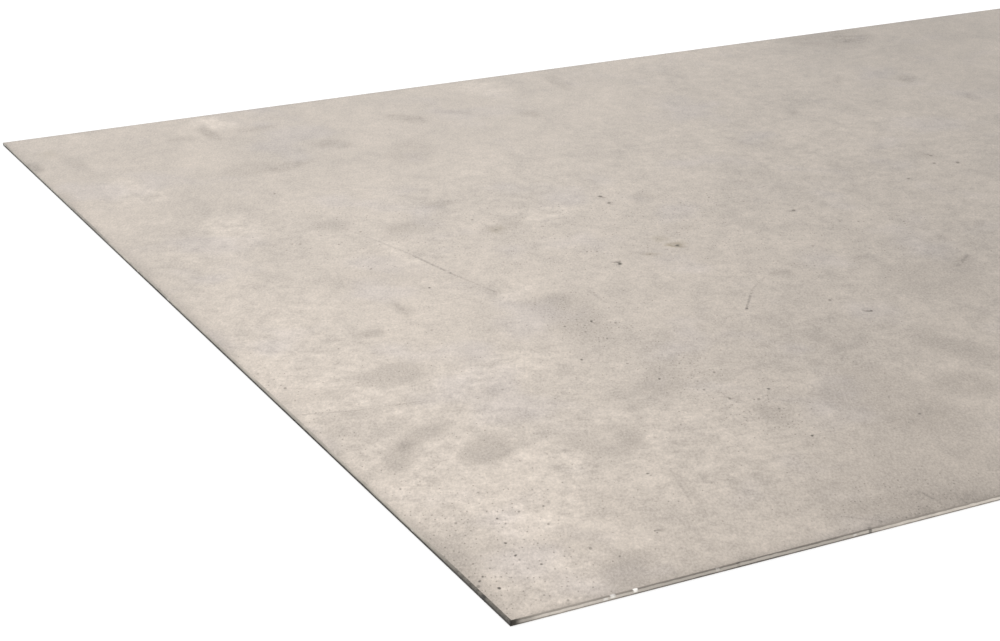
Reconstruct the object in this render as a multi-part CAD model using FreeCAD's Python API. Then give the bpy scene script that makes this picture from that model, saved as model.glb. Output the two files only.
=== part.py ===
"""Aluminium plate: one flat rectangle of rolled stock, guillotine-cut on all four sides.

The plate lies flat with its underside on the XY plane. The origin is the centre of the underside,
+X runs along the length, +Y across the width and +Z up through the thickness. Units are millimetres.

Each cut side has the section that a guillotine leaves, from top to bottom:
  the roll, where the blade first drew the top face down in a shallow round,
  the land, the straight band that the blade sheared and burnished,
  the break, where the metal tore off and leans back in under the plate.
"""

import FreeCAD
import Part

import math
import os

# Overall sizes
length = 1000.0
width = 500.0
thickness = 1.5

# Section of a cut side
roll_depth = 0.25  # drop from the top face to the top of the land
roll_reach = 0.9  # how far in from the cut side the round begins
break_height = 0.45  # height of the torn band above the underside
break_lean = 0.1  # how far in the underside stops, short of the land

OUTPUT_FOLDER = "parts"


def cut_section(span):
    """The section across a plate of this span, as a face in the XZ plane, centred on X."""
    half = span / 2
    land_top = thickness - roll_depth
    roll_start = half - roll_reach

    # The round is tangent to the top face and meets the land at a soft corner.
    roll_radius = (roll_reach**2 + roll_depth**2) / (2 * roll_depth)
    roll_angle = math.asin(roll_reach / roll_radius)
    roll_centre_z = thickness - roll_radius
    middle_x = roll_start + roll_radius * math.sin(roll_angle / 2)
    middle_z = roll_centre_z + roll_radius * math.cos(roll_angle / 2)

    def point(x, z):
        return FreeCAD.Vector(x, 0, z)

    def line(a, b):
        return Part.LineSegment(a, b).toShape()

    def arc(a, b, c):
        return Part.Arc(a, b, c).toShape()

    under_left, under_right = point(break_lean - half, 0), point(half - break_lean, 0)
    break_left, break_right = point(-half, break_height), point(half, break_height)
    land_left, land_right = point(-half, land_top), point(half, land_top)
    top_left, top_right = point(-roll_start, thickness), point(roll_start, thickness)

    outline = Part.Wire(
        [
            line(under_left, under_right),
            line(under_right, break_right),
            line(break_right, land_right),
            arc(land_right, point(middle_x, middle_z), top_right),
            line(top_right, top_left),
            arc(top_left, point(-middle_x, middle_z), land_left),
            line(land_left, break_left),
            line(break_left, under_left),
        ]
    )
    return Part.Face(outline)


def prism(span, run):
    """The section of this span, drawn out along Y over this run and centred on it."""
    solid = cut_section(span).extrude(FreeCAD.Vector(0, run, 0))
    solid.translate(FreeCAD.Vector(0, -run / 2, 0))
    return solid


def plate():
    """One solid. Each pair of opposite sides comes from one straight prism, so the corners mitre."""
    across_length = prism(length, width)
    across_width = prism(width, length)
    across_width.rotate(FreeCAD.Vector(0, 0, 0), FreeCAD.Vector(0, 0, 1), 90)
    return across_length.common(across_width).Solids[0]


def main():
    """Writes each sub-part to its own STEP file."""
    os.makedirs(OUTPUT_FOLDER, exist_ok=True)
    sub_parts = {"plate": plate()}
    for name, solid in sub_parts.items():
        solid.exportStep(os.path.join(OUTPUT_FOLDER, name + ".step"))
        box = solid.BoundBox
        print(
            f"{name}: valid {solid.isValid()}, {len(solid.Faces)} faces, "
            f"{box.XLength:.3f} x {box.YLength:.3f} x {box.ZLength:.3f} mm, {solid.Volume / 1000:.3f} cm3"
        )


main()
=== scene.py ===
"""The looks of the aluminium plate: a dull, handled sheet with guillotine-cut sides, on a pale floor.

The plate is one mesh around the frame's own box. Its top is a fine grid whose rim is drawn out, ring by
ring, over the rolled edge, down the sheared land and back in under the torn break, and a coarser grid
closes it below. Handling marks, stains, soil and broad patches of painted light and shade are painted
on its points. Lengths are in metres, and the marks' own places and sizes in millimetres.
"""

import logging
import math
from collections.abc import Callable
from dataclasses import dataclass, field
from enum import Enum
from typing import Any

import bmesh
import bpy
import numpy as np
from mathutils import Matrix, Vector


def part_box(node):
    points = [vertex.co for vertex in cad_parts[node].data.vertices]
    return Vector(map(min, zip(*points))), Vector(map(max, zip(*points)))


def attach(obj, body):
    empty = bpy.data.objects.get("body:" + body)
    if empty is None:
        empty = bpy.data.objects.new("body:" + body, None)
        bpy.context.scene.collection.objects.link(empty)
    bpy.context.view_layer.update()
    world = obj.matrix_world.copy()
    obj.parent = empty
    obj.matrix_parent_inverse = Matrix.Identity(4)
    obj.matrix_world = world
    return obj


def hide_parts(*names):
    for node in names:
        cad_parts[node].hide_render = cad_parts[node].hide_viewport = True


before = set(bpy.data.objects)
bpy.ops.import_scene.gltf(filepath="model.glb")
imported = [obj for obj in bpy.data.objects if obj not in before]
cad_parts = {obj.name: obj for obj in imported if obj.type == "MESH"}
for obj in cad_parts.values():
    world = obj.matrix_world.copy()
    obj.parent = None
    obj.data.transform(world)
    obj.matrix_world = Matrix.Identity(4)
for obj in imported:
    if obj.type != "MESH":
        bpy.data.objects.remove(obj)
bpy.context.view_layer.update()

MM = 0.001
log = logging.getLogger("aluminium_plate")

# A hair's breadth, within which two heights are taken to be the same.
HAIR = 1e-6

Triple = tuple[float, float, float]
Colour = Triple


class Layer(Enum):
    """The marks that are painted on the plate's points, by the name of their attribute."""

    HANDLING_AND_PAINTED_LIGHT = "handling"
    TARNISH = "tarnish"
    SOIL = "soil"
    PIT = "pit"
    GRIME = "grime"


class Slot(Enum):
    """The plate's material slots, in order."""

    FACE = 0
    LONG_SIDE = 1
    SHORT_SIDE = 2


# ---------------------------------------------------------------------------------------------------
# Marks on the face
# ---------------------------------------------------------------------------------------------------


# How far a mark's outline strays from an oval, in two waves and in three around it.
TWO_WAVES = 0.12
THREE_WAVES = 0.08


@dataclass(frozen=True)
class Smudge:
    """A soft oval mark, in millimetres from the middle of the plate, its turn in degrees.

    A negative depth makes a lighter place. The softness is how far it fades to either side of its outline,
    as a share of its size.
    """

    x: float
    y: float
    length: float
    breadth: float
    turn: float = 0.0
    depth: float = 1.0
    soft: float = 0.4

    def strength(self, points: np.ndarray) -> np.ndarray:
        """How strongly the mark shows at each point.

        Args:
            points: x and y of each point, in millimetres.

        Returns:
            A value for each point, from 0 to the mark's depth.
        """
        turn = math.radians(self.turn)
        across = points - np.array([self.x, self.y])
        along = across[:, 0] * math.cos(turn) + across[:, 1] * math.sin(turn)
        side = across[:, 1] * math.cos(turn) - across[:, 0] * math.sin(turn)
        reach = np.hypot(along / (self.length / 2), side / (self.breadth / 2))
        around = np.arctan2(side, along)
        phase = self.x + self.y
        reach *= 1 + TWO_WAVES * np.sin(2 * around + phase) + THREE_WAVES * np.sin(3 * around - 2 * phase)
        fade = np.clip((1 + self.soft - reach) / (2 * self.soft), 0, 1)
        return self.depth * fade * fade * (3 - 2 * fade)


@dataclass(frozen=True)
class Scratch:
    """A fine straight scratch between two points, in millimetres from the middle of the plate.

    A negative depth makes a lighter scuff. The chips and nicks of the sides are short wide ones.
    """

    start: tuple[float, float]
    end: tuple[float, float]
    width: float = 0.45
    depth: float = 0.12


@dataclass(frozen=True)
class Pit:
    """A small dark dent, in millimetres from the middle of the plate."""

    x: float
    y: float
    width: float = 1.2
    depth: float = 1.0


FINGER_MARKS = (
    Smudge(-456, -150, 16, 23, -35, 0.9, 0.2),
    Smudge(-483, -143, 10, 20, -32, 1.0, 0.4),
    Smudge(-468, -130, 22, 10, 27, 1.0, 0.4),
    Smudge(-457, -81, 28, 17, -8, 0.7, 0.2),
    Smudge(-448, -43, 10, 8, 10, 0.8, 0.25),
    Smudge(-457, -238, 15, 21, -35, 0.8, 0.2),
    Smudge(-464, -216, 18, 16, 0, 0.4, 0.3),
    Smudge(-488, -205, 18, 34, -20, 0.5),
    Smudge(-440, -205, 16, 22, 10, 0.2),
    Smudge(-419, -161, 24, 25, 10, 0.6, 0.2),
    Smudge(-420, -157, 13, 14, 10, -0.3, 0.3),
    Smudge(-412, -164, 7, 9, 0, 0.5, 0.3),
    Smudge(-375, -57, 25, 44, -10, 0.5, 0.4),
    Smudge(-372, -46, 10, 14, 0, 0.3, 0.5),
    Smudge(-378, -128, 16, 24, -20, 0.5, 0.3),
    Smudge(-396, -131, 30, 20, 10, 0.25, 0.3),
    Smudge(-360, -167, 11, 14, 0, 0.8, 0.5),
    Smudge(-433, -109, 7, 12, -35, 0.6, 0.25),
    Smudge(-424, -102, 16, 6, 30, 0.35, 0.3),
    Smudge(-427, -26, 3.5, 27, 0, 0.8, 0.3),
    Smudge(-482, -115, 27, 25, 0, 0.6, 0.15),
    Smudge(-482, -114, 15, 13, 0, -0.3, 0.3),
    Smudge(-487, -86, 24, 10, -10, 0.45, 0.3),
    Smudge(-463, -105, 14, 7, -15, 0.5, 0.3),
)

SOFT_STAINS = (
    Smudge(-319, -172, 34, 60, -12, 0.42, 0.2),
    Smudge(-271, -150, 16, 34, 12, 0.5, 0.4),
    Smudge(-289, -177, 20, 24, 0, 0.6, 0.3),
    Smudge(-366, -240, 40, 13, -10, 0.5, 0.4),
    Smudge(-317, -196, 40, 22, 0, 0.3),
    Smudge(-415, -203, 5, 34, -12, 0.4, 0.3),
    Smudge(-367, 178, 14, 16, 0, 0.7, 0.3),
    Smudge(-341, 149, 22, 36, -18, 0.42, 0.35),
    Smudge(-398, 156, 26, 9, 15, 0.6, 0.3),
    Smudge(-414, 160, 24, 20, 0, 0.35),
    Smudge(-362, 77, 11, 9, 0, 0.9, 0.3),
    Smudge(-319, 200, 12, 22, 25, 0.6, 0.3),
    Smudge(-294, 200, 6, 18, 45, 0.5, 0.3),
    Smudge(-353, 39, 22, 9, 10, 0.6, 0.3),
    Smudge(-343, 46, 14, 10, 0, 0.5, 0.3),
    Smudge(-281, 46, 12, 14, -20, 0.45, 0.3),
    Smudge(-385, 55, 26, 20, 0, 0.3),
    Smudge(-413, 72, 12, 18, 20, 0.5, 0.35),
    Smudge(-389, 57, 16, 10, 20, 0.4, 0.3),
    Smudge(-411, 224, 4, 30, 0, 0.9, 0.3),
    Smudge(-425, 217, 12, 10, 0, 0.5, 0.3),
    Smudge(-388, 217, 16, 10, 0, 0.5, 0.3),
    Smudge(-480, 200, 6, 36, 10, 0.4, 0.3),
    Smudge(-425, 10, 40, 18, 0, 0.25),
    Smudge(-224, 224, 9, 32, -12, 0.55, 0.3),
    Smudge(-264, 181, 8, 16, 10, 0.6, 0.3),
    Smudge(-50, 234, 56, 34, -10, 0.6, 0.3),
    Smudge(-41, 231, 20, 16, -30, 0.7, 0.4),
    Smudge(-64, 150, 9, 15, -20, 0.8, 0.3),
    Smudge(-57, 107, 6, 14, -25, 0.8, 0.3),
    Smudge(-151, 124, 5, 11, -30, 0.7, 0.3),
    Smudge(-138, 40, 9, 14, 15, 0.5, 0.3),
    Smudge(-211, -79, 12, 6, 35, 0.7, 0.3),
    Smudge(-245, -58, 7, 4, 30, 0.7, 0.3),
    Smudge(-252, -43, 5, 8, -20, 0.4, 0.3),
    Smudge(-177, -47, 5, 8, -30, 0.5, 0.3),
    Smudge(-287, 4, 10, 8, 0, 0.4, 0.3),
    Smudge(-308, -124, 6, 18, 5, 0.5, 0.3),
    Smudge(-282, -58, 9, 5, -10, 0.9, 0.3),
    Smudge(-390, -27, 5, 8, 0, 0.8, 0.3),
    Smudge(-97, 163, 5, 18, -30, 0.45, 0.3),
    Smudge(-232, -90, 34, 44, 0, 0.4, 0.4),
    Smudge(-470, 150, 24, 36, 0, -0.3),
    Smudge(-449, 88, 24, 40, 0, -0.35),
    Smudge(-330, 45, 26, 22, 0, -0.35),
    Smudge(-467, -196, 40, 24, -10, -0.3),
    Smudge(-444, -170, 26, 26, 0, -0.35),
    Smudge(-420, -93, 50, 20, 5, -0.35),
    Smudge(-380, -31, 26, 16, 0, -0.3),
    Smudge(-404, 234, 18, 24, 0, -0.6, 0.3),
    Smudge(-262, 230, 20, 34, -8, -0.4),
    Smudge(-402, 28, 8, 40, 5, -0.35, 0.3),
)

# Broad lighter and darker patches: painted light by the near left corner and painted shade further off, in
# place of the lamps' falloff.
BROAD_PAINTED_LIGHT_AND_SHADE = (
    Smudge(-480, -165, 60, 240, 0, -0.45, 0.7),
    Smudge(-330, -235, 110, 60, 0, 0.35, 0.8),
    Smudge(20, 190, 180, 260, 0, 0.30, 0.8),
    Smudge(-360, 200, 330, 170, 0, 0.30, 0.8),
    Smudge(-400, -174, 72, 130, 0, -0.35, 0.7),
)

RIM_DIRT = (
    Smudge(-500, -212, 12, 78, 0, 0.8),
    Smudge(-500, -130, 8, 60, 0, 0.3),
    Smudge(-500, -15, 8, 60, 0, 0.5),
    Smudge(-500, 60, 8, 70, 0, 0.3),
    Smudge(-499, 205, 9, 14, 0, 1.1, 0.3),
    Smudge(-499, 150, 7, 24, 0, 0.4),
    Smudge(-430, -250, 120, 7, 0, 0.35),
    Smudge(-340, -250, 80, 12, 0, 0.6),
)

BROWN_STAINS = (
    Smudge(-301, -12, 7, 6, 20, 1.2, 0.3),
    Smudge(-303, -3, 6, 7, 10, 0.6, 0.4),
    Smudge(-316, -17, 5, 5, 10, 0.5, 0.4),
    Smudge(-356, 37, 5, 8, -20, 0.5, 0.4),
    Smudge(-487, 222, 6, 16, -20, 0.3),
)

SOILED_PLACES = (
    Smudge(-482, -215, 44, 84, -14, 0.85),
    Smudge(-494, -110, 16, 170, 0, 0.5),
    Smudge(-372, -66, 34, 54, 0, 0.9),
    Smudge(-370, -125, 30, 40, 0, 0.7),
    Smudge(-363, -165, 30, 50, 0, 0.9),
    Smudge(-366, -240, 60, 30, 0, 0.8),
    Smudge(-330, 20, 110, 90, 0, 0.6),
    Smudge(-395, 60, 90, 90, 0, 0.4),
    Smudge(-250, -20, 120, 120, 0, 0.4),
    Smudge(-400, -130, 200, 220, 0, 0.2),
)

SCRATCHES = (
    Scratch((-418, 128), (-413, 70), 0.9, 0.05),
    Scratch((-411, 70), (-404, 46), 1.0, 0.09),
    Scratch((-404, 46), (-399, 24), 1.2, 0.17),
    Scratch((-399, 24), (-395, 0), 1.3, 0.30),
    Scratch((-395, 0), (-389, -26), 1.2, 0.18),
    Scratch((-316, -85), (-302, -68), 0.9, 0.34),
    Scratch((-302, -68), (-290, -59), 0.8, 0.16),
    Scratch((-217, -83), (-206, -75), 1.4, 0.18),
    Scratch((-497, -98), (-480, -103), 0.9, 0.20),
    Scratch((-480, -103), (-458, -106), 0.7, 0.16),
    Scratch((-430, -39), (-426, -17), 1.8, 0.10),
    Scratch((-357, -38), (-358, -54), 1.4, 0.14),
    Scratch((-412, -188), (-419, -212), 0.8, 0.10),
    Scratch((-372, -188), (-336, -188), 0.8, 0.06),
    Scratch((-354, -235), (-353, -245), 1.0, 0.14),
    Scratch((-388, -236), (-376, -247), 1.0, 0.08),
    Scratch((-483, -246.6), (-477, -246.8), 1.6, -0.16),
    Scratch((-382.2, -250), (-381.8, -249), 0.8, 0.30),
)

SIDE_CHIPS = (
    Scratch((-468.6, -249.8), (-468.0, -249.8), 1.0, 0.8),
    Scratch((-461.4, -249.6), (-460.8, -249.6), 0.9, 1.0),
    Scratch((-434.6, -249.8), (-434.2, -249.8), 0.7, 0.6),
    Scratch((382, 249.8), (383, 249.8), 1.0, 0.9),
    Scratch((-120, 249.8), (-119, 249.8), 0.9, 0.7),
)

SIDE_NICKS = (
    Scratch((-382.2, -250), (-381.8, -250), 0.7, 0.6),
    Scratch((-427.8, -249.6), (-427.2, -249.6), 0.7, 0.5),
    Scratch((141, -250), (142, -250), 1.2, 0.8),
    Scratch((-60, 250), (-58, 250), 1.2, 0.8),
    Scratch((-499.8, -234.6), (-499.8, -233.4), 1.0, 0.7),
    Scratch((500, 88), (500, 90), 1.2, 0.8),
)

GRIMY_SIDES = (
    Smudge(-500, -236, 5, 62, 0, 1.0, 0.6),
    Smudge(-497, -250, 9, 2, 0, 0.4, 0.5),
    Smudge(500, 246, 12, 60, 0, 0.9, 0.6),
    Smudge(-420, -250, 90, 3, 0, 0.35),
    Smudge(-240, -250, 120, 3, 0, 0.5),
    Smudge(180, -250, 160, 3, 0, 0.5),
    Smudge(-150, 250, 200, 3, 0, 0.5),
    Smudge(500, -90, 3, 110, 0, 0.6),
    Smudge(-500, 120, 3, 60, 0, 0.35),
)

PITS = (
    Pit(-332, -21, 2.4, 1.0),
    Pit(-301, -13, 2.4, 0.9),
    Pit(-316, -17, 1.6, 0.5),
    Pit(-356, 37, 1.8, 0.4),
    Pit(-297, 55, 2.8, 0.8),
    Pit(-298, 46, 2.4, 0.7),
    Pit(-235, 2, 2.6, 0.7),
    Pit(-136, 38, 2.4, 0.5),
    Pit(-142, 28, 2.4, 0.5),
    Pit(-132, 24, 2.6, 0.6),
    Pit(-166, 15, 2.2, 0.5),
    Pit(-283, -91, 1.6, 0.6),
    Pit(-366, -151, 1.8, 0.6),
    Pit(-372, -69, 1.6, 0.9),
    Pit(-383, -69, 1.4, 0.6),
    Pit(-379, -77, 1.3, 0.5),
    Pit(-350, -150, 1.6, 0.8),
    Pit(-359, -188, 1.6, 0.9),
    Pit(-318, -190, 1.6, 0.6),
    Pit(-420, -188, 1.4, 0.7),
    Pit(-393, -99, 1.5, 0.8),
    Pit(-378, -126, 1.4, 0.8),
    Pit(-276, -107, 1.8, 0.8),
    Pit(-315, -84, 1.6, 0.7),
    Pit(-409, -11, 1.5, 0.9),
    Pit(-420, 18, 1.4, 0.6),
    Pit(-418, 122, 1.6, 0.6),
    Pit(-494, -232, 1.6, 1.0),
    Pit(-497, -226, 1.2, 0.9),
    Pit(-495, -224, 1.1, 0.8),
    Pit(-494, -216, 1.1, 0.6),
    Pit(-480, -209, 1.3, 0.9),
    Pit(-481, -217, 1.3, 0.9),
    Pit(-477, -225, 1.2, 0.8),
    Pit(-475, -194, 1.2, 0.8),
    Pit(-471, -190, 1.0, 0.5),
    Pit(-459, -193, 1.1, 0.7),
    Pit(-455, -231, 1.1, 0.6),
    Pit(-438, -222, 1.1, 0.6),
)

BRUISED_CORNER = Smudge(-500, -250, 1.6, 1.6, 0, 0.9, 0.3)


def scattered(count: int, low: Vector, high: Vector, seed: int) -> list[Smudge]:
    """Smudges at random over a rectangle, for the parts of the sheet with no marks of their own.

    Args:
        count: how many smudges.
        low: the lowest x and y, in millimetres.
        high: the highest x and y, in millimetres.
        seed: the seed of the draw.

    Returns:
        The smudges.
    """
    draw = np.random.default_rng(seed)
    marks = []
    for _ in range(count):
        length = draw.uniform(12, 46)
        marks.append(
            Smudge(
                x=draw.uniform(low.x, high.x),
                y=draw.uniform(low.y, high.y),
                length=length,
                breadth=length * draw.uniform(0.4, 0.9),
                turn=draw.uniform(-60, 60),
                depth=draw.uniform(0.25, 0.8) * (1 if draw.random() < 0.7 else -0.6),
            )
        )
    return marks


# ---------------------------------------------------------------------------------------------------
# Shader maths
# ---------------------------------------------------------------------------------------------------


class Value:
    """A number's socket. Python operators on it add the Math nodes that they stand for."""

    def __init__(self, graph: "Graph", socket: bpy.types.NodeSocket) -> None:
        """Keeps the socket and the graph that it is in."""
        self.graph = graph
        self.socket = socket

    def _math(self, operation: str, *terms: "Value | float") -> "Value":
        """One Math node with this operation on these terms."""
        node = self.graph.node("ShaderNodeMath", {"operation": operation}, dict(enumerate(terms)))
        return Value(self.graph, node.outputs[0])

    def __add__(self, other: "Value | float") -> "Value":
        """self + other."""
        return self._math("ADD", self, other)

    __radd__ = __add__

    def __sub__(self, other: "Value | float") -> "Value":
        """self - other."""
        return self._math("SUBTRACT", self, other)

    def __rsub__(self, other: "Value | float") -> "Value":
        """other - self."""
        return self._math("SUBTRACT", other, self)

    def __mul__(self, other: "Value | float") -> "Value":
        """self * other."""
        return self._math("MULTIPLY", self, other)

    __rmul__ = __mul__

    def __truediv__(self, other: "Value | float") -> "Value":
        """self / other."""
        return self._math("DIVIDE", self, other)

    def __abs__(self) -> "Value":
        """The size of self, without its sign."""
        return self._math("ABSOLUTE", self)

    def least(self, other: "Value | float") -> "Value":
        """The smaller of self and other."""
        return self._math("MINIMUM", self, other)

    def most(self, other: "Value | float") -> "Value":
        """The larger of self and other."""
        return self._math("MAXIMUM", self, other)

    def clamped(self) -> "Value":
        """self, kept between 0 and 1."""
        return self.least(1.0).most(0.0)

    def ramp(self, low: float, high: float) -> "Value":
        """A smooth step from 0 at low to 1 at high, or from 1 to 0 where low is the larger.

        Args:
            low: where the step is 0.
            high: where the step is 1.

        Returns:
            The step.
        """
        ends = (0.0, 1.0) if low < high else (1.0, 0.0)
        node = self.graph.node(
            "ShaderNodeMapRange",
            {"interpolation_type": "SMOOTHSTEP"},
            {0: self, 1: min(low, high), 2: max(low, high), 3: ends[0], 4: ends[1]},
        )
        return Value(self.graph, node.outputs[0])


class Graph:
    """A material's or the world's nodes, on a cleared tree.

    The fades say where a speck or a scratch begins to show and where it shows fully, in half widths.
    """

    speck_fade = (1.3, 0.5)
    scratch_fade = (1.6, 0.4)

    def __init__(self, owner: bpy.types.Material | bpy.types.World) -> None:
        """Clears the owner's nodes.

        Args:
            owner: the material or world to build.
        """
        owner.use_nodes = True
        self.tree = owner.node_tree
        self.tree.nodes.clear()

    def node(
        self, kind: str, settings: dict[str, Any] | None = None, values: dict[Any, Any] | None = None
    ) -> bpy.types.Node:
        """Adds a node.

        Args:
            kind: the node's type.
            settings: its own settings, which are set first.
            values: for each input, by name or number, a link or a plain value.

        Returns:
            The node.
        """
        made = self.tree.nodes.new(kind)
        for name, setting in (settings or {}).items():
            setattr(made, name, setting)
        for name, value in (values or {}).items():
            if isinstance(value, Value):
                value = value.socket
            if isinstance(value, bpy.types.NodeSocket):
                self.tree.links.new(value, made.inputs[name])
            else:
                made.inputs[name].default_value = value
        return made

    def place(self) -> bpy.types.NodeSocket:
        """The point on the object, in metres."""
        return self.node("ShaderNodeTexCoord").outputs["Object"]

    def axes(self, vector: bpy.types.NodeSocket) -> tuple[Value, Value, Value]:
        """The x, y and z of a vector."""
        split = self.node("ShaderNodeSeparateXYZ", values={0: vector})
        return tuple(Value(self, socket) for socket in split.outputs)

    def painted(self, layer: Layer) -> Value:
        """What is painted on the points in this layer."""
        node = self.node("ShaderNodeAttribute", {"attribute_name": layer.value})
        return Value(self, node.outputs["Fac"])

    def stretched(
        self, place: bpy.types.NodeSocket, scale: Triple, turn: float = 0.0
    ) -> bpy.types.NodeSocket:
        """The place for a texture drawn out by the scale along each of its axes, which are turned about Z."""
        turned = {"Vector": place, "Rotation": (0.0, 0.0, math.radians(turn)), "Scale": scale}
        return self.node("ShaderNodeMapping", {"vector_type": "TEXTURE"}, turned).outputs[0]

    def noise(
        self, place: bpy.types.NodeSocket, size: float, detail: float = 2.0, roughness: float = 0.5
    ) -> Value:
        """Smooth noise about 0.

        Args:
            place: where it is read.
            size: the size of its largest lumps, in metres.
            detail: how many finer octaves it has.
            roughness: how strong the finer octaves are.

        Returns:
            The noise, mostly from -0.25 to 0.25.
        """
        values = {"Vector": place, "Scale": 1 / size, "Detail": detail, "Roughness": roughness}
        return Value(self, self.node("ShaderNodeTexNoise", values=values).outputs[0]) - 0.5

    def specks(
        self, place: bpy.types.NodeSocket, spacing: float, width: float, share: "Value", axes: str = "2D"
    ) -> Value:
        """Round specks at random.

        Args:
            place: where they are read.
            spacing: their mean distance, in metres.
            width: a speck's width, in metres.
            share: the share of places that have a speck, from 0 to 1.
            axes: 2D for specks that lie over x and y, 3D for specks all through space.

        Returns:
            1 on a speck and 0 between them.
        """
        values = {"Vector": place, "Scale": 1 / spacing}
        cells = self.node("ShaderNodeTexVoronoi", {"voronoi_dimensions": axes}, values)
        draw = self.axes(cells.outputs["Color"])
        edges = [width / 2 / spacing * fade for fade in self.speck_fade]
        dot = (Value(self, cells.outputs["Distance"]) / (draw[1] + 0.5)).ramp(*edges)
        return dot * (share - draw[0]).ramp(0.0, 0.05)

    def vector(self, operation: str, values: dict[Any, Any], output: int | str = 0) -> bpy.types.NodeSocket:
        """An output of one Vector Math node with this operation on these values."""
        return self.node("ShaderNodeVectorMath", {"operation": operation}, values).outputs[output]

    def scratch(self, place: bpy.types.NodeSocket, line: Scratch) -> Value:
        """How strongly a scratch shows.

        Args:
            place: where it is read.
            line: the scratch.

        Returns:
            Its depth on the line, and 0 beside it.
        """
        start = Vector((*line.start, 0.0)) * MM
        along = Vector((*line.end, 0.0)) * MM - start
        flat = self.vector("MULTIPLY", {0: place, 1: (1.0, 1.0, 0.0)})
        offset = self.vector("SUBTRACT", {0: flat, 1: start})
        run = self.vector("DOT_PRODUCT", {0: offset, 1: along / along.length_squared}, "Value")
        foot = self.vector("SCALE", {0: along, "Scale": Value(self, run).clamped()})
        gap = self.vector("DISTANCE", {0: offset, 1: foot}, "Value")
        edges = [line.width / 2 * MM * fade for fade in self.scratch_fade]
        return Value(self, gap).ramp(*edges) * line.depth

    def strongest(self, place: bpy.types.NodeSocket, lines: tuple[Scratch, ...]) -> Value:
        """How strongly the strongest of some scratches shows.

        Args:
            place: where they are read.
            lines: the scratches.

        Returns:
            The largest of their depths at each place.
        """
        shown = self.scratch(place, lines[0])
        for line in lines[1:]:
            shown = shown.most(self.scratch(place, line))
        return shown

    def tinted(self, colour: Any, tone: Value) -> bpy.types.NodeSocket:
        """The colour, made lighter or darker by the tone."""
        return self.vector("SCALE", {0: colour, "Scale": tone})

    def mixed(self, share: Value, first: Any, second: Any) -> bpy.types.NodeSocket:
        """A mix of two colours.

        Args:
            share: how much of the second colour there is, from 0 to 1.
            first: a colour or its socket.
            second: a colour or its socket.

        Returns:
            The mixed colour.
        """
        settings = {"data_type": "RGBA", "clamp_factor": True}
        opaque = [(*c, 1.0) if isinstance(c, tuple) else c for c in (first, second)]
        return self.node("ShaderNodeMix", settings, {0: share, 6: opaque[0], 7: opaque[1]}).outputs[2]

    def metal(self, colour: Any, roughness: Value, height: Value, lift: float) -> None:
        """Ends the graph in a metal.

        Args:
            colour: its base colour.
            roughness: its roughness.
            height: the relief, from 0 to 1.
            lift: how high a relief of 1 stands, in metres.
        """
        bump = self.node("ShaderNodeBump", values={"Strength": 1.0, "Distance": lift, "Height": height})
        values = {"Base Color": colour, "Roughness": roughness, "Metallic": 1.0, "Normal": bump.outputs[0]}
        shader = self.node("ShaderNodeBsdfPrincipled", values=values)
        self.node("ShaderNodeOutputMaterial", values={"Surface": shader.outputs[0]})


# ---------------------------------------------------------------------------------------------------
# Finishes
# ---------------------------------------------------------------------------------------------------


@dataclass(frozen=True)
class Speckle:
    """Specks of soil of one size: how far apart, how wide, how common in soil and out of it, how dark."""

    spacing: float
    width: float
    in_soil: float
    elsewhere: float
    depth: float

    def shown(self, graph: Graph, place: bpy.types.NodeSocket, soil: Value) -> Value:
        """How dark the specks are at each place, which is soiled as the soil says."""
        share = soil * self.in_soil + self.elsewhere
        return graph.specks(place, self.spacing, self.width, share) * self.depth


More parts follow.
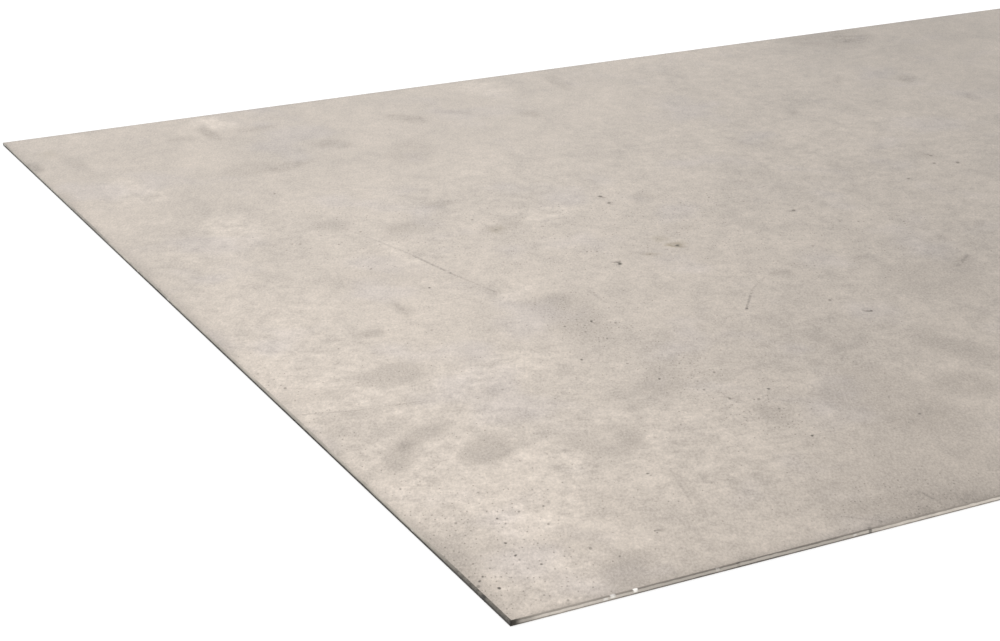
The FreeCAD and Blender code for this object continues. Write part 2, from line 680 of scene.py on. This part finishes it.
@dataclass(frozen=True)
class MillFace:
    """The rolled faces: dull warm aluminium, clouded and grainy, with marks where it was handled, stains and
    soil, and broad patches of painted light and shade.

    The faint texture is drawn out along the rubbing direction, which is in degrees.
    """

    name: str = "dull_mill_face"
    colour: Colour = (0.424, 0.375, 0.328)
    cool: Colour = (0.416, 0.371, 0.336)
    stain: Colour = (0.24, 0.20, 0.13)
    soil: Colour = (0.08, 0.073, 0.064)
    roughness: float = 0.44
    rubbing: float = 62.0
    cloud: float = 1.05
    cloud_size: float = 0.100
    cloud_scale: Triple = (1.4, 1.0, 1.0)
    mottle: float = 0.38
    mottle_size: float = 0.005
    grain: float = 0.64
    grain_size: float = 0.0008
    grain_scale: Triple = (1.7, 1.0, 1.0)
    cool_size: float = 0.045
    handling: float = 0.19
    rim: float = 0.08
    rim_width: float = 0.005
    fine_specks: Speckle = Speckle(0.0015, 0.00042, 0.34, 0.02, 0.44)
    coarse_specks: Speckle = Speckle(0.0045, 0.00080, 0.12, 0.012, 0.48)
    soil_cover: float = 0.85
    relief: float = 0.00003

    def material(self, half_length: float, half_width: float) -> bpy.types.Material:
        """Builds the material.

        Args:
            half_length: half the plate's length.
            half_width: half its width.

        Returns:
            The material.
        """
        made = bpy.data.materials.new(self.name)
        graph = Graph(made)
        place = graph.place()
        x, y, _ = graph.axes(place)

        clouded = graph.stretched(place, self.cloud_scale, self.rubbing)
        rubbed = graph.stretched(place, self.grain_scale, self.rubbing)
        clouds = graph.noise(clouded, self.cloud_size, detail=7.0, roughness=0.95)
        mottle = graph.noise(place, self.mottle_size, detail=2.0, roughness=0.8)
        grain = graph.noise(rubbed, self.grain_size, detail=1.0, roughness=0.9)

        # The painted layer holds finger marks and stains, and also the broad patches of painted light and
        # shade.
        handling = graph.painted(Layer.HANDLING_AND_PAINTED_LIGHT) * (1 + mottle * 4.0 + clouds * 2.0)
        rim = (half_length - abs(x)).least(half_width - abs(y)).ramp(self.rim_width, 0.0)
        tone = 1 + clouds * self.cloud + mottle * self.mottle + grain * self.grain
        tone = tone - handling * self.handling - rim * self.rim
        for line in SCRATCHES:
            tone = tone - graph.scratch(place, line) * (1 + mottle * 8.0).clamped()

        soiled = graph.painted(Layer.SOIL)
        fine = self.fine_specks.shown(graph, rubbed, soiled)
        coarse = self.coarse_specks.shown(graph, rubbed, soiled)
        soil = fine.most(coarse).most(graph.painted(Layer.PIT)).clamped()
        tarnish = graph.painted(Layer.TARNISH) * (0.5 + mottle * 1.5)

        cool = graph.noise(place, self.cool_size, detail=2.0, roughness=0.6).ramp(0.02, 0.20)
        colour = graph.tinted(graph.mixed(cool, self.colour, self.cool), tone)
        colour = graph.mixed(tarnish.clamped(), colour, self.stain)
        colour = graph.mixed(soil * self.soil_cover, colour, self.soil)
        roughness = self.roughness + clouds * 0.20 + grain * 0.12 + handling * 0.03 + soil * 0.2
        height = 0.5 + grain * 0.9 + mottle * 0.6 - soil * 0.3
        graph.metal(colour, roughness, height, self.relief)
        return made


@dataclass(frozen=True)
class ShearedSide:
    """A guillotined side: the rolled-over edge, the sheared land and the torn break, by height.

    The drag is the guillotine's fine upright lines. Chips show from their foot to their top, and a corner
    line from its outer edge to its inner one.
    """

    name: str
    roll: Colour
    land: Colour
    torn: Colour
    land_top: float
    land_foot: float
    grime: Colour = (0.066, 0.060, 0.051)
    bright: Colour = (0.90, 0.87, 0.83)
    dark: Colour = (0.030, 0.028, 0.025)
    roughness: float = 0.42
    roll_blur: float = 0.06 * MM
    foot_blur: float = 0.05 * MM
    drag_size: float = 0.0022
    drag_scale: Triple = (1.0, 1.0, 12.0)
    patch_size: float = 0.030
    ragged_size: float = 0.003
    bead_spacing: float = 0.004
    bead_width: float = 0.0016
    bead_share: float = 0.45
    bead_depth: float = 0.5
    chip_heights: tuple[float, float] = (0.55 * MM, 0.85 * MM)
    corner_line: tuple[float, float] = (0.7 * MM, 0.3 * MM)
    corner_depth: float = 0.85
    relief: float = 0.00005

    def material(self, half_length: float, half_width: float) -> bpy.types.Material:
        """Builds the material.

        Args:
            half_length: half the plate's length.
            half_width: half its width.

        Returns:
            The material.
        """
        made = bpy.data.materials.new(self.name)
        graph = Graph(made)
        place = graph.place()
        x, y, z = graph.axes(place)

        drag = graph.noise(graph.stretched(place, self.drag_scale), self.drag_size, 3.0, 0.6)
        patches = graph.noise(place, self.patch_size, 4.0, 0.75)
        ragged = graph.noise(place, self.ragged_size, 2.0) * 0.35 * MM + patches * 0.30 * MM
        level = z + ragged
        on_roll = level.ramp(self.land_top - self.roll_blur, self.land_top + self.roll_blur)
        on_land = level.ramp(self.land_foot - self.foot_blur, self.land_foot + self.foot_blur)

        torn = graph.tinted(self.torn, 1 + patches * 3.0)
        roll = graph.tinted(self.roll, 1 + patches * 1.5)
        land = graph.tinted(self.land, 1 + drag * 0.5 + patches * 0.3)
        colour = graph.mixed(on_roll, graph.mixed(on_land, torn, land), roll)

        beads = graph.specks(place, self.bead_spacing, self.bead_width, self.bead_share + patches, "3D")
        colour = graph.mixed(beads * on_land * (1 - on_roll) * self.bead_depth, colour, self.bright)
        grime = graph.painted(Layer.GRIME) * (0.85 + patches * 1.2 + drag * 0.8)
        colour = graph.mixed(grime.clamped(), colour, self.grime)
        upper = z.ramp(*self.chip_heights) * (0.8 + drag * 3.0)
        chips = graph.strongest(place, SIDE_CHIPS) * upper
        colour = graph.mixed(chips.clamped(), colour, self.bright)

        from_corner = (half_length - abs(x)) + (half_width - abs(y))
        corner = from_corner.ramp(*self.corner_line) * self.corner_depth
        marks = graph.painted(Layer.PIT).most(corner).most(graph.strongest(place, SIDE_NICKS))
        colour = graph.mixed(marks.clamped(), colour, self.dark)
        roughness = self.roughness + drag * 0.3 + (1 - on_land) * 0.15
        graph.metal(colour, roughness, 0.5 + drag, self.relief)
        return made


# ---------------------------------------------------------------------------------------------------
# The plate
# ---------------------------------------------------------------------------------------------------


@dataclass(frozen=True)
class MapLayout:
    """Where the plate's faces and sides lie on its map, as shares of the map's side."""

    margin: float = 0.005
    span: float = 0.99
    top_foot: float = 0.54
    top_tall: float = 0.455
    under_foot: float = 0.08
    under_tall: float = 0.44
    strip_foot: float = 0.003
    strip_tall: float = 0.012
    strip_step: float = 0.018


@dataclass
class ShearedPlate:
    """The plate as one closed mesh, built from its top outwards and down, then closed below."""

    low: Vector
    high: Vector
    roll_depth: float = 0.25 * MM
    roll_reach: float = 0.9 * MM
    break_height: float = 0.45 * MM
    break_lean: float = 0.1 * MM
    cell: float = 3.1 * MM
    under_cell: float = 10.0 * MM
    rim_band: float = 2.5 * MM
    rim_cuts: int = 2
    roll_steps: int = 4
    pit_sink: float = 0.06 * MM
    pit_skirt: float = 1.6
    pit_reach: float = 1.1 * MM
    pit_cuts: int = 3
    tear: float = 0.06 * MM
    tear_margin: float = 0.02 * MM
    sharp_angle: float = 11.0
    layout: MapLayout = MapLayout()
    piece: bpy.types.Object | None = field(default=None, init=False)

    @property
    def half(self) -> Vector:
        """Half the plate's length and half its width, and as z its whole thickness."""
        return Vector((self.high.x, self.high.y, self.high.z))

    @property
    def land_top(self) -> float:
        """The height of the top of the sheared land."""
        return self.high.z - self.roll_depth

    def rings(self) -> list[tuple[float, float]]:
        """The rings of the section from the end of the top's flat to the underside.

        Returns:
            How far in from the side each ring lies, and its height.
        """
        radius = (self.roll_reach**2 + self.roll_depth**2) / (2 * self.roll_depth)
        sweep = math.asin(self.roll_reach / radius)
        turns = [sweep * (i + 1) / self.roll_steps for i in range(self.roll_steps)]
        roll = [
            (self.roll_reach - radius * math.sin(t), self.high.z - radius * (1 - math.cos(t))) for t in turns
        ]
        mid_land = (self.land_top + self.break_height) / 2
        below = [
            (0.0, mid_land),
            (0.0, self.break_height),
            (self.break_lean / 2, self.break_height / 2),
            (self.break_lean, 0.0),
            (self.break_lean + self.rim_band, 0.0),
        ]
        return roll + below

    def build(self) -> bpy.types.Object:
        """Makes the mesh, step by step, and leaves it in object mode.

        Returns:
            The plate.
        """
        self.add_top()
        self.draw_out_sides()
        self.close_below()
        self.refine_pits()
        self.settle_points()
        bpy.ops.object.mode_set(mode="OBJECT")
        self.smooth()
        return self.piece

    def add_grid(self, inset: float, height: float, cell: float) -> None:
        """Adds a flat grid, centred, in edit mode.

        Args:
            inset: how far in from the plate's sides it ends.
            height: its height.
            cell: the rough size of its cells.
        """
        size = ((self.half.x - inset) * 2, (self.half.y - inset) * 2)
        bpy.ops.mesh.primitive_grid_add(
            x_subdivisions=round(size[0] / cell),
            y_subdivisions=round(size[1] / cell),
            size=1.0,
            location=(0.0, 0.0, height),
        )
        self.scale_selected(size[0], size[1])

    def scale_selected(self, factor_x: float, factor_y: float) -> None:
        """Scales what is selected about the middle of the plate.

        Args:
            factor_x: the factor along its length.
            factor_y: the factor along its width.
        """
        if bpy.context.mode != "EDIT_MESH":
            bpy.ops.object.mode_set(mode="EDIT")
        bpy.ops.transform.resize(value=(factor_x, factor_y, 1.0), center_override=(0.0, 0.0, 0.0))

    def select(self, mode: str, wanted: Callable[[Any], bool]) -> int:
        """Selects vertices, edges or faces.

        Args:
            mode: VERT, EDGE or FACE.
            wanted: says whether an element is selected.

        Returns:
            How many are selected.
        """
        bpy.ops.mesh.select_mode(type=mode)
        bpy.ops.mesh.select_all(action="DESELECT")
        mesh = bmesh.from_edit_mesh(self.piece.data)
        elements = {"VERT": mesh.verts, "EDGE": mesh.edges, "FACE": mesh.faces}[mode]
        found = [e for e in elements if wanted(e)]
        for element in found:
            element.select_set(True)
        mesh.select_flush_mode()
        bmesh.update_edit_mesh(self.piece.data)
        return len(found)

    def add_top(self) -> None:
        """The flat of the top as a grid, and its mesh and object."""
        bpy.ops.object.select_all(action="DESELECT")
        self.add_grid(self.roll_reach + self.rim_band, 0.0, self.cell)
        self.piece = bpy.context.object
        self.piece.name = "sheared_plate"
        self.piece.data.name = "sheared_plate"
        bpy.ops.transform.translate(value=(0.0, 0.0, self.high.z))

    def draw_out_sides(self) -> None:
        """Extrudes the rim over the rolled edge, down the land and back in under the break."""
        self.select("EDGE", lambda e: e.is_boundary)
        inset, height = self.roll_reach + self.rim_band, self.high.z
        inset, height = self.extrude_ring(inset, height, self.roll_reach, self.high.z)
        bpy.ops.mesh.subdivide(number_cuts=self.rim_cuts)
        self.select("EDGE", lambda e: e.is_boundary)
        for next_inset, next_height in self.rings():
            inset, height = self.extrude_ring(inset, height, next_inset, next_height)

    def extrude_ring(
        self, inset: float, height: float, new_inset: float, new_height: float
    ) -> tuple[float, float]:
        """Draws the selected ring out to a new ring.

        Args:
            inset: how far in from the side the selected ring lies.
            height: its height.
            new_inset: how far in the new one lies.
            new_height: the new one's height.

        Returns:
            The new ring's inset and height.
        """
        bpy.ops.mesh.extrude_region_move()
        factor_x = (self.half.x - new_inset) / (self.half.x - inset)
        factor_y = (self.half.y - new_inset) / (self.half.y - inset)
        self.scale_selected(factor_x, factor_y)
        bpy.ops.transform.translate(value=(0.0, 0.0, new_height - height))
        return new_inset, new_height

    def close_below(self) -> None:
        """Adds the underside's own coarse grid and bridges the last ring to it."""
        bpy.ops.mesh.select_all(action="DESELECT")
        self.add_grid(self.break_lean + self.rim_band + self.under_cell, 0.0, self.under_cell)
        self.select("EDGE", lambda e: e.is_boundary)
        bpy.ops.mesh.bridge_edge_loops()
        bpy.ops.mesh.select_all(action="SELECT")
        bpy.ops.mesh.normals_make_consistent(inside=False)

    def refine_pits(self) -> None:
        """Cuts the cells that hold a pit finely, and pushes the pit's points down."""
        pits = [(p, Vector((p.x * MM, p.y * MM, self.high.z))) for p in PITS]
        for reach in (self.cell * 0.75, self.pit_reach):

            def holds_pit(face: bmesh.types.BMFace, reach: float = reach) -> bool:
                """True for a face of the top whose middle is near a pit."""
                middle = face.calc_center_median()
                return middle.z > self.high.z - HAIR and any((middle - at).length < reach for _, at in pits)

            self.select("FACE", holds_pit)
            bpy.ops.mesh.subdivide(number_cuts=self.pit_cuts)
        mesh = bmesh.from_edit_mesh(self.piece.data)
        for pit, at in pits:
            skirt = pit.width / 2 * MM * self.pit_skirt
            for vertex in mesh.verts:
                gap = (vertex.co - at).length
                if vertex.co.z > self.high.z - HAIR and gap < skirt:
                    vertex.co.z -= self.pit_sink * pit.depth * max(0.0, 1 - gap / skirt)
        bmesh.update_edit_mesh(self.piece.data)

    def settle_points(self) -> None:
        """Roughens the torn break a little, and keeps every point in the frame's box."""
        mesh = bmesh.from_edit_mesh(self.piece.data)
        draw = np.random.default_rng(7)
        for vertex in mesh.verts:
            place = vertex.co
            if self.tear_margin < place.z < self.break_height - self.tear_margin:
                pull = 1 - draw.uniform(0.0, self.tear) / self.half.y
                place.x *= pull
                place.y *= pull
            place.x = min(max(place.x, self.low.x), self.high.x)
            place.y = min(max(place.y, self.low.y), self.high.y)
            place.z = min(max(place.z, self.low.z), self.high.z)
        bmesh.update_edit_mesh(self.piece.data)

    def smooth(self) -> None:
        """Smooths the shading, but keeps the corners of the cut side sharp."""
        bpy.ops.object.select_all(action="DESELECT")
        self.piece.select_set(True)
        bpy.context.view_layer.objects.active = self.piece
        bpy.ops.object.shade_smooth_by_angle(angle=math.radians(self.sharp_angle))

    @staticmethod
    def read(items: Any, name: str, kind: type, width: int = 1) -> np.ndarray:
        """Reads a property of all of a mesh's items.

        Args:
            items: its vertices, loops or polygons.
            name: the property.
            kind: its numbers' type.
            width: how many numbers each item has.

        Returns:
            The numbers, with a row for each item where it has more than one.
        """
        flat = np.empty(len(items) * width, kind)
        items.foreach_get(name, flat)
        return flat.reshape(-1, width) if width > 1 else flat

    def points(self) -> np.ndarray:
        """The mesh's points, as rows of x, y and z."""
        return self.read(self.piece.data.vertices, "co", np.float32, 3)

    def paint(self) -> None:
        """Paints the marks on the points, one attribute for each layer."""
        points = self.points()
        place = points[:, :2] / MM
        on_top = points[:, 2] > self.break_height
        for layer, (above, below) in self.marks().items():
            value = np.zeros(len(points), np.float32)
            for side, smudges in ((on_top, above), (~on_top, below)):
                total = sum((s.strength(place[side]) for s in smudges), np.zeros(int(side.sum())))
                value[side] = np.clip(total, -1.0, 1.3)
            attribute = self.piece.data.attributes.new(layer.value, "FLOAT", "POINT")
            attribute.data.foreach_set("value", value)

    def marks(self) -> dict[Layer, tuple[list[Smudge], list[Smudge]]]:
        """The marks of each layer.

        The far end's finger marks and soil are the near end's, turned round, and the rest of the top and the
        underside have marks at random.

        Returns:
            For each layer, the marks on the top and those on the underside.
        """
        low, high = self.low / MM, self.high / MM
        rest = scattered(110, Vector((-140.0, low.y, 0.0)), high, seed=3)
        rest = [s for s in rest if s.x - 0.98 * s.y > -110]
        under = scattered(260, low, high, seed=5)
        ends = [Smudge(-s.x, -s.y, s.length, s.breadth, s.turn, s.depth * 0.8) for s in FINGER_MARKS]
        soiled_end = [Smudge(-s.x, -s.y, s.length, s.breadth, s.turn, s.depth) for s in SOILED_PLACES[:2]]
        pits = [Smudge(p.x, p.y, p.width * 0.9, p.width * 0.6, MillFace.rubbing, p.depth) for p in PITS]
        return {
            Layer.HANDLING_AND_PAINTED_LIGHT: ([*FINGER_MARKS, *SOFT_STAINS, *BROAD_PAINTED_LIGHT_AND_SHADE, *RIM_DIRT, *rest, *ends], under),
            Layer.TARNISH: (list(BROWN_STAINS), scattered(6, low, high, seed=8)),
            Layer.SOIL: ([*SOILED_PLACES, *soiled_end], scattered(8, low, high, seed=9)),
            Layer.PIT: ([*pits, BRUISED_CORNER], []),
            Layer.GRIME: (list(GRIMY_SIDES), list(GRIMY_SIDES)),
        }

    def dress(self) -> None:
        """Gives the plate its finishes, its painted marks and its map."""
        bands = {"land_top": self.land_top, "land_foot": self.break_height}
        mesh = self.piece.data
        for finish in (MillFace(), long_side(**bands), short_side(**bands)):
            mesh.materials.append(finish.material(self.half.x, self.half.y))
        self.paint()
        for face in mesh.polygons:
            middle = face.center
            is_flat = abs(face.normal.z) > 0.995
            if is_flat or middle.z > self.high.z - HAIR:
                slot = Slot.FACE
            elif self.half.x - abs(middle.x) < self.half.y - abs(middle.y):
                slot = Slot.SHORT_SIDE
            else:
                slot = Slot.LONG_SIDE
            face.material_index = slot.value
        self.lay_map()

    def lay_map(self) -> None:
        """Lays the map: the top above, the underside below, and the four sides as strips along the foot."""
        mesh, layout = self.piece.data, self.layout
        place = self.points()[self.read(mesh.loops, "vertex_index", np.int32)]
        totals = self.read(mesh.polygons, "loop_total", np.int32)
        slot = np.repeat(self.read(mesh.polygons, "material_index", np.int32), totals)
        middle = np.repeat(self.read(mesh.polygons, "center", np.float32, 3), totals, axis=0)

        along_x = layout.margin + layout.span * (place[:, 0] / (self.half.x * 2) + 0.5)
        along_y = place[:, 1] / (self.half.y * 2) + 0.5
        reach = np.minimum(self.half.x - abs(place[:, 0]), self.half.y - abs(place[:, 1]))
        fall = self.high.z - place[:, 2]
        section = np.where(place[:, 2] > self.land_top - HAIR / 10, fall + reach, fall)
        strip = section / (self.high.z + self.roll_reach) * layout.strip_tall

        is_top = (slot == Slot.FACE.value) & (middle[:, 2] > self.break_height)
        is_under = (slot == Slot.FACE.value) & ~is_top
        is_long = slot == Slot.LONG_SIDE.value
        is_short = slot == Slot.SHORT_SIDE.value
        u = np.where(is_short, layout.margin + layout.span * along_y, along_x)
        on_top = layout.top_foot + layout.top_tall * along_y
        on_under = layout.under_foot + layout.under_tall * along_y
        row = np.where(is_long, np.where(middle[:, 1] < 0, 0, 1), np.where(middle[:, 0] < 0, 2, 3))
        on_strip = layout.strip_foot + row * layout.strip_step + strip
        v = np.where(is_top, on_top, np.where(is_under, on_under, on_strip))
        layer = mesh.uv_layers.new(name="OFBake")
        layer.data.foreach_set("uv", np.stack([u, v], axis=1).astype(np.float32).ravel())


def long_side(land_top: float, land_foot: float) -> ShearedSide:
    """The finish of the two long sides: a dark rolled line, whose darkness is painted shade, over a bright
    land.

    Args:
        land_top: the height of the top of the sheared land.
        land_foot: the height of its foot.

    Returns:
        The finish.
    """
    return ShearedSide(
        name="bright_sheared_side",
        # The rolled edge's darker colour is painted shade.
        roll=(0.28, 0.25, 0.22),
        land=(0.58, 0.53, 0.475),
        torn=(0.27, 0.245, 0.215),
        land_top=land_top,
        land_foot=land_foot,
    )


def short_side(land_top: float, land_foot: float) -> ShearedSide:
    """The finish of the two short sides: as light as the face above at the rolled edge, with painted shade
    below it, a darker grey land and a near black band along the foot.

    Args:
        land_top: the height of the top of the sheared land.
        land_foot: the height of the foot of the break's band, over which this finish's dark band rises.

    Returns:
        The finish.
    """
    return ShearedSide(
        name="short_side_painted_shade",
        roll=(0.33, 0.30, 0.26),
        # The land's darker grey and the foot's near black are painted shade.
        land=(0.30, 0.275, 0.235),
        torn=(0.045, 0.041, 0.034),
        land_top=land_top,
        land_foot=land_foot + 0.4 * MM,
    )


# ---------------------------------------------------------------------------------------------------
# The studio
# ---------------------------------------------------------------------------------------------------


@dataclass(frozen=True)
class Panel:
    """A soft rectangular lamp, hidden from the camera: its place, width, height and power."""

    name: str
    place: Triple
    wide: float
    tall: float
    watts: float

    def hang(self, aim: Vector) -> None:
        """Adds the lamp, facing the aim.

        Args:
            aim: the point that it faces.
        """
        turn = (aim - Vector(self.place)).to_track_quat("-Z", "Y").to_euler()
        bpy.ops.object.light_add(type="AREA", location=self.place, rotation=turn)
        lamp = bpy.context.object
        lamp.name = self.name
        lamp.data.shape = "RECTANGLE"
        lamp.data.size, lamp.data.size_y = self.wide, self.tall
        lamp.data.energy = self.watts
        lamp.visible_camera = False


PANELS = (
    Panel("back_panel", (-0.05, 3.0, 2.2), 3.6, 2.9, 20.5),
    Panel("near_panel", (0.2, 1.6, 1.4), 0.9, 0.9, 0.8),
    Panel("high_panel", (-1.2, -0.2, 2.6), 2.2, 2.2, 18.0),
)


@dataclass
class Studio:
    """The pale floor, the soft light and the camera, whose turns are in degrees."""

    floor_span: float = 30.0
    floor_drop: float = 0.2 * MM
    floor_colour: Colour = (0.45, 0.45, 0.45)
    floor_glow: float = 0.72
    sky: float = 0.62
    lamp_aim: Triple = (-0.25, 0.0, 0.0)
    lens: float = 78.03
    sensor: float = 36.0
    clip: tuple[float, float] = (0.01, 100.0)
    camera_place: Triple = (-0.7368, -0.7006, 0.2872)
    camera_down: float = 21.391
    camera_turn: float = -27.415

    def lay_floor(self) -> bpy.types.Object:
        """Lays the floor: plain and pale, white to the camera and in reflections, and it takes the shadow.

        Returns:
            The floor.
        """
        bpy.ops.object.select_all(action="DESELECT")
        bpy.ops.mesh.primitive_plane_add(size=self.floor_span, location=(0.0, 0.0, -self.floor_drop))
        floor = bpy.context.object
        floor.name = "floor"
        made = bpy.data.materials.new("pale_floor")
        graph = Graph(made)
        paint = graph.node("ShaderNodeBsdfDiffuse", values={"Color": (*self.floor_colour, 1.0)})
        glow = graph.node("ShaderNodeEmission", values={"Strength": self.seen(graph) * self.floor_glow})
        both = graph.node("ShaderNodeAddShader", values={0: paint.outputs[0], 1: glow.outputs[0]})
        graph.node("ShaderNodeOutputMaterial", values={"Surface": both.outputs[0]})
        floor.data.materials.append(made)
        return floor

    @staticmethod
    def seen(graph: Graph) -> Value:
        """Tells what is seen from what only lights the object.

        Args:
            graph: the nodes that ask.

        Returns:
            1 for what the camera sees, straight or in metal or glass, and 0 for light on the object.
        """
        path = graph.node("ShaderNodeLightPath")
        rays = [Value(graph, path.outputs[f"Is {kind} Ray"]) for kind in ("Camera", "Glossy", "Transmission")]
        return rays[0].most(rays[1]).most(rays[2])

    def light(self) -> None:
        """The white surroundings and three soft lamps."""
        world = bpy.data.worlds.new("studio")
        bpy.context.scene.world = world
        graph = Graph(world)
        seen = self.seen(graph)
        values = {"Color": (1.0, 1.0, 1.0, 1.0), "Strength": seen + (1 - seen) * self.sky}
        back = graph.node("ShaderNodeBackground", values=values)
        graph.node("ShaderNodeOutputWorld", values={"Surface": back.outputs[0]})
        for panel in PANELS:
            panel.hang(Vector(self.lamp_aim))

    def set_camera(self) -> None:
        """The camera, low over the near corner."""
        turn = (math.radians(90 - self.camera_down), 0.0, math.radians(self.camera_turn))
        bpy.ops.object.camera_add(location=self.camera_place, rotation=turn)
        camera = bpy.context.object
        camera.name = "camera"
        camera.data.sensor_width = self.sensor
        camera.data.lens = self.lens
        camera.data.clip_start, camera.data.clip_end = self.clip
        bpy.context.scene.camera = camera
        bpy.context.scene.view_settings.view_transform = "Standard"


def main() -> None:
    """Builds the plate and its studio, and reports each piece."""
    logging.basicConfig(level=logging.INFO, format="%(name)s: %(message)s")
    plate = ShearedPlate(*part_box("plate"))
    piece = plate.build()
    plate.dress()
    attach(piece, "root")
    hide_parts("plate")
    log.info("%s: %d points, %d faces", piece.name, len(piece.data.vertices), len(piece.data.polygons))

    studio = Studio()
    floor = studio.lay_floor()
    studio.light()
    studio.set_camera()


if __name__ == "__main__":
    main()
